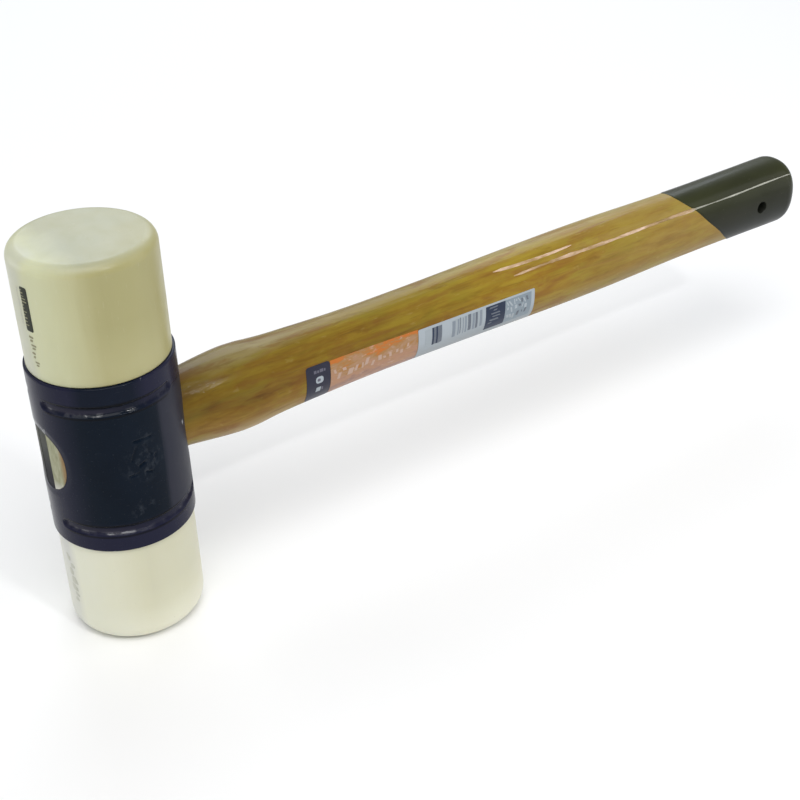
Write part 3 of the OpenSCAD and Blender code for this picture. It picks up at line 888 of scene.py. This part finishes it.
def box_mesh(low, high):
    corners = [(x, y, z) for x in (low[0], high[0]) for y in (low[1], high[1]) for z in (low[2], high[2])]
    faces = [(0, 1, 3, 2), (4, 6, 7, 5), (0, 4, 5, 1), (2, 3, 7, 6), (0, 2, 6, 4), (1, 5, 7, 3)]
    return mesh_from("box", corners, faces)


def wedge_mesh(grow, reach_past=0.0):
    """The slot that takes the wedge, or with no reach past its tip the wedge before it is dressed."""
    rows = []
    tall = SMALL_END[2] * 2
    for x in np.linspace(-SLEEVE_R - 4 * MM, WEDGE_HI.x + reach_past, 12):
        t = wedge_half(x) + grow
        corners = ((-t, -tall), (t, -tall), (t, tall), (-t, tall))
        rows.append([(x, WEDGE_Y + y, AXIS_Z + z) for y, z in corners])
    return mesh_from("wedge", *loop_skin(rows))


def hole_mesh(radius):
    """The hang hole along Y, flaring slightly at both mouths."""
    half = float(half_sizes(HANG_X)[0])
    wide, wider = radius + HANG_FLARE, radius + HANG_FLARE * 2.2
    mouth = [(radius, half - 0.7 * MM), (wide, half + 0.2 * MM), (wider, half + 4 * MM), (0, half + 4 * MM)]
    mesh = revolve("hole", [(r, -y) for r, y in mouth[::-1]] + mouth, 64)
    mesh.transform(Matrix.Translation((HANG_X, 0, AXIS_Z)) @ Matrix.Rotation(math.radians(90), 4, "X"))
    return mesh


def make_wedge():
    """Grey wedge, its corners broken, driven in just below the dressed end."""
    piece = add_piece("driven_wedge", wedge_mesh(-0.03 * MM), "wedge_wood", ["eye_wedge"])
    cut(piece, tenon_mesh(-0.02 * MM), "INTERSECT")
    cut(piece, dressing_mesh(CROWN_R - 0.15 * MM), "INTERSECT")
    dress(piece, wedge_material(), 35)
    return piece


def coat_edge(z):
    """Where the dipped coat starts at a height z from the handle's axis."""
    middle = COAT_LO.x + float(half_sizes(COAT_LO.x)[1]) * math.tan(COAT_SLANT)
    return middle - z * math.tan(COAT_SLANT)


def make_end_coat():
    """The dipped skin: a slanting edge with a rolled lip, closed over the butt, open at the hang hole."""
    angle = np.linspace(0, 2 * np.pi, 144, endpoint=False)
    height = half_sizes(np.full(144, HANG_X))[1] * signed_power(np.sin(angle), 2 / OVAL_POWER)
    start = coat_edge(height) + 0.35 * MM * np.sin(3 * angle + 0.6) + 0.18 * MM * np.sin(8 * angle)
    start = np.maximum(start, COAT_LO.x + 0.05 * MM)
    body = 0.92 * COAT_T
    # the rolled lip: mm past the edge, share of the coat's thickness
    lip = ((0, 0.02), (0.25, 0.6), (0.6, 0.95), (1.2, 1.0), (2.5, 0.92))
    outer = [oval_point(start + past * MM, angle, share * COAT_T) for past, share in lip]
    for t in np.linspace(0, 1, 60)[1:]:
        outer.append(oval_point((start + lip[-1][0] * MM) * (1 - t) + DOME_X * t, angle, body))
    for q in np.linspace(0, np.pi / 2, 16)[1:]:
        ring = oval_point(np.full(144, DOME_X + (REACH - DOME_X) * math.sin(q)), angle, body * math.cos(q))
        ring[:, 0] += body * math.sin(q)
        outer.append(ring)
    under = -0.01 * MM
    inner = [oval_point(np.full(144, DOME_X + (REACH - DOME_X) * math.sin(q) + under), angle, under)
             for q in np.linspace(np.pi / 2, 0, 8)[:-1]]
    foot = start + 0.1 * MM
    inner += [oval_point(foot * (1 - t) + DOME_X * t, angle, under) for t in np.linspace(1, 0, 20)]
    points, faces = loop_skin(inner + outer)
    piece = add_piece("dipped_end", mesh_from("dipped_end", points, faces), "dip_coat", ["end_coat"])
    cut(piece, hole_mesh(HANG_R + 0.02 * MM))
    dress(piece, coat_material())
    return piece


# ---------------------------------------------------------------- labels and film
def plate(x0, x1, z_top, z_bottom, base, thick, corner=0.0, nx=None, nz=None, surface=front_point):
    """Points and faces of a thin closed plate lying on a surface, with rounded corners."""
    nx = nx or max(2, int((x1 - x0) / (2.0 * MM)))
    nz = nz or max(2, int((z_top - z_bottom) / (0.8 * MM)))
    rows = []
    for i in range(nx + 1):
        t = i / nx
        x = x0 + (x1 - x0) * (0.5 - 0.5 * math.cos(math.pi * t) if corner else t)
        near_end = max(0.0, corner - min(x - x0, x1 - x))
        pull = corner - math.sqrt(max(0.0, corner**2 - near_end**2)) if corner else 0.0
        zs = np.linspace(z_top - pull, z_bottom + pull, nz + 1)
        top = surface(np.full(nz + 1, x), zs, base + thick)
        under = surface(np.full(nz + 1, x), zs, base)
        rows.append(list(top) + list(under[::-1]))
    points = [tuple(p) for row in rows for p in row]
    n = len(rows[0])
    faces = quads(nx + 1, n)
    for r in (0, nx):
        faces += [(r * n + i, r * n + i + 1, r * n + n - 2 - i, r * n + n - 1 - i) for i in range(nz)]
    return points, faces


def lay(plates, material, *place, **fine):
    """Add a plate in a material to the list."""
    plates.append((*plate(*place, **fine), material))


def join_plates(name, plates, slot, replaces=()):
    """One piece made of several plates, each (points, faces, material)."""
    points, faces, index, materials = [], [], [], []
    for part_points, part_faces, material in plates:
        if material not in materials:
            materials.append(material)
        start = len(points)
        points += part_points
        faces += [tuple(start + i for i in f) for f in part_faces]
        index += [materials.index(material)] * len(part_faces)
    mesh = mesh_from(name, points, faces)
    for material in materials:
        mesh.materials.append(material)
    mesh.polygons.foreach_set("material_index", index)
    piece = add_piece(name, mesh, slot, replaces)
    shade(piece, 40)
    return piece


FRONT_LABEL_DROP = 1.2 * MM            # how much lower the front label lies at its far end


def dropped_point(x, z, lift=0.0):
    """Points on the handle's front in the front label's own slightly slanting rows."""
    share = (x - FRONT_LABEL_LO.x) / (FRONT_LABEL_HI.x - FRONT_LABEL_LO.x)
    return front_point(x, z - FRONT_LABEL_DROP * share, lift)


def leaning(surface, z_mid, lean):
    """The same surface with its columns tilted, for slanting strokes."""
    return lambda x, z, lift=0.0: surface(x + lean * (z - z_mid), z, lift)


def inset(z_world):
    """Height from the handle's axis of a label's edge, kept just inside the CAD label."""
    z = z_world - AXIS_Z
    return z - math.copysign(0.12 * MM, z)


def band_material(top, low):
    """The front label's band: orange along the top, turning to tan, pink and lavender lower down."""
    m = Nodes("label_band_look")
    x, _, height = m.axes()
    share = m.between(x, FRONT_LABEL_LO.x, FRONT_LABEL_HI.x)
    below = top - (height + share * FRONT_LABEL_DROP)
    patch = m.streak((120, 330, 330), 4, 0.65, 0.4)
    tone = below / (top - low) + (patch - 0.5) * 1.9
    colour = m.ramp(tone, [(0.00, (0.500, 0.150, 0.022)), (0.18, (0.360, 0.180, 0.055)),
                           (0.36, (0.370, 0.215, 0.110)), (0.62, (0.415, 0.226, 0.134)),
                           (0.98, (0.285, 0.166, 0.128))])
    fibre = m.noise(m.position(), 1600, 4, 0.7)
    colour = m.stain(colour, (0.560, 0.420, 0.360), 0.45, 0.58, 0.70, (260, 520, 520), 3, 0.6)
    return finish_paper(m, colour, fibre, 0.35, 0.2)


def make_front_label(ink_white):
    """Sticker with a navy badge and an orange band that fades to pink, all patterns plain shapes."""
    navy = print_material("label_navy", (0.012, 0.013, 0.030), (0.028, 0.028, 0.055))
    dull = print_material("label_dull", (0.100, 0.098, 0.135), (0.150, 0.148, 0.190))
    pale = print_material("label_pale", (0.480, 0.330, 0.255), (0.430, 0.300, 0.245))
    x0, x1 = FRONT_LABEL_LO.x, FRONT_LABEL_HI.x
    split = x0 + 10.2 * MM              # where the badge ends and the band starts
    top, low = inset(FRONT_LABEL_HI.z), inset(FRONT_LABEL_LO.z + FRONT_LABEL_DROP)
    sheet, badge_sheet = 0.06 * MM, 0.096 * MM
    plates = []
    lay(plates, navy, x0, split, top, low, LABEL_GAP, badge_sheet, 1.2 * MM, nx=24, surface=dropped_point)
    lay(plates, band_material(top, low), split + 0.15 * MM, x1, top - 0.3 * MM, low, LABEL_GAP, sheet,
        surface=dropped_point)

    def mark(left, right, upper, lower, base, material, corner=0.0, lean=0.0):
        fine = (14, 10) if corner else (3, 4)
        tilted = leaning(dropped_point, (upper + lower) / 2, lean)
        lay(plates, material, left, right, upper, lower, LABEL_GAP + base, INK, corner, *fine, tilted)

    # the badge's shapes, in mm: left, right, distances down, corner; then lean, layer and ink
    middle = (x0 + split) / 2 + 0.5 * MM
    for left, right, upper, lower, corner, lean, layer, material in (
            (-2.4, -1.3, 2.0, 3.2, 0, 0, 0, dull), (-1.0, -0.2, 2.2, 3.2, 0, 0, 0, dull),
            (0.1, 1.6, 2.0, 3.2, 0, 0, 0, dull), (1.9, 2.5, 2.2, 3.2, 0, 0, 0, dull),
            (-1.7, 1.5, 4.8, 7.6, 1.1, 0, 0, ink_white), (-1.1, 0.3, 5.6, 6.8, 0.5, 0, 1, dull),
            (-1.6, 0.4, 9.3, 11.2, 0, 0.2, 0, ink_white), (0.8, 1.4, 9.6, 11.0, 0, 0, 0, dull)):
        mark(middle + left * MM, middle + right * MM, top - upper * MM, top - lower * MM,
             badge_sheet + layer * INK, material, corner * MM, lean)
    rng = random.Random(4)
    x = split + 1.5 * MM
    while x < x1 - 4 * MM:
        wide = rng.uniform(0.6, 2.4) * MM
        upper = top - rng.uniform(4.2, 6.6) * MM
        lower = upper - rng.uniform(0.9, 2.9) * MM
        mark(x, x + wide, upper, lower, sheet, pale, 0.0, rng.uniform(-0.4, 0.5))
        x += wide + rng.uniform(0.5, 2.0) * MM
    return join_plates("badge_sticker", plates, "label_print", ["front_label"])


def make_bar_label(white):
    """White sticker with made-up bars, a dark block and a grey field of strokes."""
    grey_ink = print_material("label_bars", (0.110, 0.130, 0.160), (0.180, 0.200, 0.240))
    mid_ink = print_material("label_mid_bars", (0.205, 0.240, 0.280), (0.260, 0.295, 0.345))
    soft_ink = print_material("label_soft_bars", (0.330, 0.375, 0.405), (0.370, 0.405, 0.445))
    dark = print_material("label_block", (0.010, 0.020, 0.050), (0.030, 0.046, 0.086))
    field = print_material("label_field", (0.210, 0.260, 0.300), (0.300, 0.350, 0.395))
    x0, x1 = BAR_LABEL_LO.x, BAR_LABEL_HI.x
    top, low = inset(BAR_LABEL_HI.z), inset(BAR_LABEL_LO.z)
    sheet = 0.08 * MM
    lift = LABEL_GAP + sheet
    plates = []
    lay(plates, white, x0, x1, top, low, LABEL_GAP, sheet, 0.5 * MM, nx=40)
    rng = random.Random(11)
    # groups of bars: both ends and the height above the label's foot in mm, ground, inks to choose from
    for left, right, rise, ground, inks in ((3.0, 6.2, 4.6, soft_ink, (mid_ink, soft_ink)),
                                            (6.2, 10.8, 5.4, grey_ink, (grey_ink, dark)),
                                            (15.4, 30.0, 5.9, soft_ink, (grey_ink, mid_ink, mid_ink))):
        foot = low + rise * MM
        lay(plates, ground, x0 + left * MM, x0 + right * MM, top - 1.1 * MM, foot, lift, INK / 2, nz=8)
        x = x0 + (left + 0.2) * MM
        while x < x0 + (right - 1.3) * MM:
            wide = rng.choice((0.35, 0.70, 1.05, 1.40)) * MM
            ends = rng.uniform(0.0, 0.6) * MM
            lay(plates, rng.choice(inks), x, x + wide, top - 1.0 * MM - ends, foot - ends,
                lift + INK / 2, INK, nx=1, nz=8)
            x += wide + rng.choice((0.35, 0.70, 1.05)) * MM
    block = x0 + 31.4 * MM
    panel = block + 9.4 * MM
    foot = low + 2.6 * MM
    lay(plates, dark, block, panel, top - 0.8 * MM, foot, lift, INK)
    for k in range(6):
        x = block + rng.uniform(0.4, 4.6) * MM
        z = top - (1.5 + 1.35 * k) * MM
        lay(plates, grey_ink, x, x + rng.uniform(1.6, 4.2) * MM, z, z - rng.uniform(0.4, 0.9) * MM,
            lift + INK, INK, nx=3, nz=2, surface=leaning(front_point, z, rng.uniform(-1, 1)))
    lay(plates, field, panel, x1 - 1.6 * MM, top - 0.8 * MM, foot, lift, INK)
    for row in range(3):
        x = panel + 0.9 * MM
        while x < x1 - 3.6 * MM:
            wide = rng.uniform(0.45, 1.2) * MM
            z = top - (1.3 + 2.9 * row + rng.uniform(0.0, 1.0)) * MM
            tall = rng.uniform(1.0, 2.4) * MM
            tilted = leaning(front_point, z - tall / 2, rng.uniform(-0.7, 0.3))
            lay(plates, rng.choice((white, white, white, grey_ink)), x, x + wide, z, z - tall,
                lift + INK, INK, nx=2, nz=3, surface=tilted)
            x += wide + rng.uniform(0.4, 1.3) * MM
    return join_plates("bar_sticker", plates, "label_white", ["bar_label"])


def seam_rings(x0, x1, angle_at, foot, height, seed):
    """A small ridge laid along the handle, its height and width uneven like a crushed weld."""
    rng = np.random.RandomState(seed)
    xs = np.arange(x0, x1, 0.9 * MM)
    wave = np.convolve(rng.rand(len(xs) + 24), np.ones(13) / 13, "same")[12:-12]
    wave = np.clip((wave - 0.36) / 0.28, 0, 1)
    rings = []
    for i, x in enumerate(xs):
        fade = min(1.0, (x - x0) / (4 * MM), (x1 - x) / (3 * MM) + 0.1)
        lift = COAT_T * float(ease((x - seam_crossing() + 0.2 * MM) / (0.6 * MM)))
        wide = foot * (0.50 + 0.50 * wave[i]) * (0.35 + 0.65 * fade) * (0.52 if lift else 1.0)
        tall = height * (0.55 + 0.45 * wave[i]) * (0.15 + 0.85 * fade)
        ring = []
        for k in range(9):
            q = math.pi * k / 8
            side = math.cos(q) * wide / 2
            a = angle_at(x) + side / float(half_sizes(x)[1])
            ring.append(oval_point(np.array(x), np.array(a), lift + 0.015 * MM + tall * math.sin(q)))
        rings.append(ring)
    return rings


def seam_crossing():
    """Where the seam climbs onto the dipped coat."""
    return coat_edge(SEAM_LO.z - AXIS_Z)


def seam_angle_at(x):
    """Angle on the section that keeps the weld on the CAD seam's line, wandering slightly."""
    b = float(half_sizes(x)[1])
    z = SEAM_MID_Z * b / SEAM_MID_B
    s = signed_power(np.array(z / b), OVAL_POWER / 2)
    return math.pi - math.asin(float(s)) + 0.012 * math.sin(95 * x)


SEAM_MID_B = float(half_sizes((SEAM_LO.x + SEAM_HI.x) / 2)[1])
SEAM_MID_Z = (SEAM_LO.z + SEAM_HI.z) / 2 - AXIS_Z


def make_film():
    """The film's welded seam along the upper front edge, and one short crease above it."""
    film = film_material()
    seam = seam_rings(SEAM_LO.x, SEAM_HI.x + 4 * MM, seam_angle_at, 1.75 * MM, 0.30 * MM, 5)
    piece = add_piece("film_weld", mesh_from("film_weld", *loop_skin(seam)), "clear_film", ["film_seam"])
    dress(piece, film, 60)
    crease = seam_rings(0.157, 0.196, lambda x: math.pi - math.radians(60 + 5 * math.sin(60 * x)),
                        1.50 * MM, 0.24 * MM, 9)
    fold = add_piece("film_crease", mesh_from("film_crease", *loop_skin(crease)), "clear_film")
    dress(fold, film, 60)


def flank_point(along, z, lift):
    """Points on a face's flank: along runs round from the struck side, z up from the handle's axis."""
    phi = np.pi + along / FACE_R
    r = face_radius(np.abs(z) - SLEEVE_LEN / 2) + lift
    return np.stack([r * np.cos(phi), r * np.sin(phi), AXIS_Z + z], -1)


def make_face_marks():
    """Plain marks printed on the faces' struck side: a black tally bar above, a broken smear below."""
    black = print_material("mark_black", (0.020, 0.024, 0.017), (0.075, 0.080, 0.058), 0.5, 0.0)
    brown = print_material("mark_brown", (0.270, 0.260, 0.160), (0.350, 0.340, 0.220), 0.5, 0.0)
    faint = print_material("mark_faint", (0.500, 0.505, 0.420), (0.600, 0.600, 0.500), 0.5, 0.0)
    right = 7.4 * MM                    # the marks' right edge, from the struck side's middle line
    plates = []

    def mark(left, wide, upper, tall, layer, material, corner=0.0, lean=0.0):
        fine = (12, 24) if tall > 5 * MM else (5, 4)
        tilted = leaning(flank_point, upper - tall / 2, lean)
        lay(plates, material, left, left + wide, upper, upper - tall, layer * INK, INK, corner,
            *fine, tilted)

    mark(right - 3.3 * MM, 3.3 * MM, 64.2 * MM, 15.2 * MM, 1, black, 0.7 * MM)
    rng = random.Random(7)
    z = 63.2 * MM
    while z > 50.4 * MM:
        tall = rng.uniform(0.25, 0.5) * MM
        mark(right - 3.25 * MM, rng.uniform(0.6, 2.3) * MM, z, tall, 2, brown)
        mark(right - 5.5 * MM, rng.uniform(0.5, 1.2) * MM, z, 2 * tall, 1, faint)
        z -= tall + rng.uniform(0.55, 1.0) * MM
    # the blots below the bar, in mm: height, distance from the right edge, width, size downwards
    for z, left, wide, tall in ((47.3, 3.1, 2.3, 1.7), (44.4, 2.7, 2.6, 1.5),
                                (41.6, 2.9, 1.7, 1.8), (38.4, 2.2, 2.2, 1.4)):
        mark(right - left * MM, wide * MM, z * MM, 0.45 * tall * MM, 1, brown, 0.35 * MM)
        mark(right - (left - 0.4) * MM, 0.6 * wide * MM, (z - 0.7 * tall) * MM, 0.5 * tall * MM, 1, brown,
             0.2 * MM, 0.4)
    join_plates("upper_face_print", plates, "label_print")
    smear = print_material("mark_smear", (0.580, 0.585, 0.500), (0.520, 0.525, 0.450), 0.5, 0.0)
    plates.clear()
    z = -38.8 * MM
    while z > -59.0 * MM:
        tall = rng.uniform(1.6, 3.4) * MM
        wide = rng.uniform(1.3, 2.6) * MM
        left = right - rng.uniform(4.8, 6.6) * MM
        mark(left, wide, z, tall, 1, smear, 0.6 * MM, rng.uniform(-0.4, 0.4))
        mark(left + 0.8 * wide, 0.5 * wide, z - 0.3 * tall, 0.6 * tall, 2, faint, 0.25 * MM,
             rng.uniform(-0.4, 0.4))
        z -= tall + rng.uniform(0.1, 0.7) * MM
    join_plates("lower_face_print", plates, "label_print")


# ---------------------------------------------------------------- stage
CAMERA_AZIMUTH = math.radians(-34.646)
CAMERA_ELEVATION = math.radians(32.302)
CAMERA_ROLL = math.radians(-1.723)
CAMERA_DISTANCE = 0.53446
CAMERA_TARGET = Vector((0.11686, 0.0, AXIS_Z - 0.03266))
CAMERA_LENS = 62.18


def direction(azimuth, elevation):
    """Unit vector from the object towards a viewer or lamp. Azimuth 0 is in front, at -Y."""
    return Vector((math.sin(azimuth) * math.cos(elevation), -math.cos(azimuth) * math.cos(elevation),
                   math.sin(elevation)))


def make_camera():
    back = direction(CAMERA_AZIMUTH, CAMERA_ELEVATION)
    right = (-back).cross(Vector((0, 0, 1))).normalized()
    up = right.cross(-back)
    x = right * math.cos(CAMERA_ROLL) + up * math.sin(CAMERA_ROLL)
    y = up * math.cos(CAMERA_ROLL) - right * math.sin(CAMERA_ROLL)
    camera = bpy.data.cameras.new("camera")
    camera.lens = CAMERA_LENS
    camera.sensor_width = 36.0
    camera.clip_start = 0.01
    camera.clip_end = 50
    holder = bpy.data.objects.new("camera", camera)
    holder.matrix_world = Matrix((x, y, back)).transposed().to_4x4()
    holder.location = CAMERA_TARGET + back * CAMERA_DISTANCE
    bpy.context.scene.collection.objects.link(holder)
    bpy.context.scene.camera = holder


def make_lamp(name, azimuth, elevation, distance, size, power, colour=(1, 1, 1), target=(0.06, 0, 0.07)):
    lamp = bpy.data.lights.new(name, "AREA")
    lamp.shape = "RECTANGLE"
    lamp.size, lamp.size_y = size
    lamp.energy = power
    lamp.color = colour
    holder = bpy.data.objects.new(name, lamp)
    away = direction(math.radians(azimuth), math.radians(elevation))
    holder.location = Vector(target) + away * distance
    holder.rotation_euler = away.to_track_quat("Z", "Y").to_euler()
    bpy.context.scene.collection.objects.link(holder)


def make_stage():
    """Pale floor, pale surroundings and soft studio lamps."""
    scene = bpy.context.scene
    world = bpy.data.worlds.new("studio")
    scene.world = world
    world.use_nodes = True
    background = world.node_tree.nodes["Background"]
    background.inputs["Color"].default_value = (1, 1, 1, 1)
    background.inputs["Strength"].default_value = 0.46
    mesh = mesh_from("floor", [(-4, -4, 0), (4, -4, 0), (4, 4, 0), (-4, 4, 0)], [(0, 1, 2, 3)])
    floor = add_piece("floor", mesh, None)
    m = Nodes("floor_look")
    m.set(Base_Color=(0.92, 0.92, 0.92), Roughness=0.9, Specular_IOR_Level=0.1)
    floor.data.materials.append(m.material)
    make_lamp("key", -30, 66, 1.5, (1.0, 1.0), 11.5)
    make_lamp("side", 60, 20, 1.1, (0.34, 0.9), 1.5)
    make_lamp("back", 146, 34, 1.5, (1.1, 0.7), 6.6, (0.93, 1.0, 1.1))
    make_lamp("left", -138, 8, 1.0, (0.5, 0.3), 1.4)
    make_lamp("spark", 8, 44, 1.2, (0.10, 0.05), 2.2)
    scene.view_settings.view_transform = "Standard"
    scene.view_settings.look = "None"


# ---------------------------------------------------------------- build
def main():
    make_stage()
    make_camera()
    # the two faces are one rubber: the lower face's paler tones are painted light, the upper face's darker
    # ones painted shade
    upper = rubber_material("upper_rubber_shaded_look", 3, (38, 52),
                            deep=(0.400, 0.375, 0.175), light=(0.440, 0.410, 0.200),
                            flowing=(0.480, 0.455, 0.260), chalk_and_sheen_tone=(0.382, 0.400, 0.302),
                            handled=(0.440, 0.390, 0.190), struck=(0.640, 0.660, 0.430),
                            painted_shade_tone=(0.331, 0.305, 0.128), smudged=(0.500, 0.510, 0.420))
    lower = rubber_material("lower_rubber_lit_look", 16, (66, 50),
                            deep=(0.680, 0.665, 0.480), light=(0.730, 0.720, 0.550),
                            flowing=(0.760, 0.760, 0.620), chalk_and_sheen_tone=(0.820, 0.820, 0.700),
                            handled=(0.700, 0.650, 0.450), struck=(0.755, 0.760, 0.620),
                            painted_shade_tone=(0.563, 0.552, 0.404), smudged=(0.560, 0.565, 0.540))
    make_sleeve()
    make_face("upper_striking_face", "upper_face", True, upper)
    make_face("lower_striking_face", "lower_face", False, lower)
    make_handle()
    make_wedge()
    make_end_coat()
    # the white label's under tone is painted shade where it turns under the handle
    white = print_material("label_white_look", (0.390, 0.435, 0.475), (0.335, 0.383, 0.428),
                           under=(0.255, 0.285, 0.302))
    make_front_label(white)
    make_bar_label(white)
    make_film()
    make_face_marks()
    core = frame["nodes"]["eye_core"]
    core.data.materials.clear()
    steel = steel_material("core_steel_look", (0.20, 0.20, 0.20), (0.09, 0.09, 0.09), 0.5)
    core.data.materials.append(steel)


main()
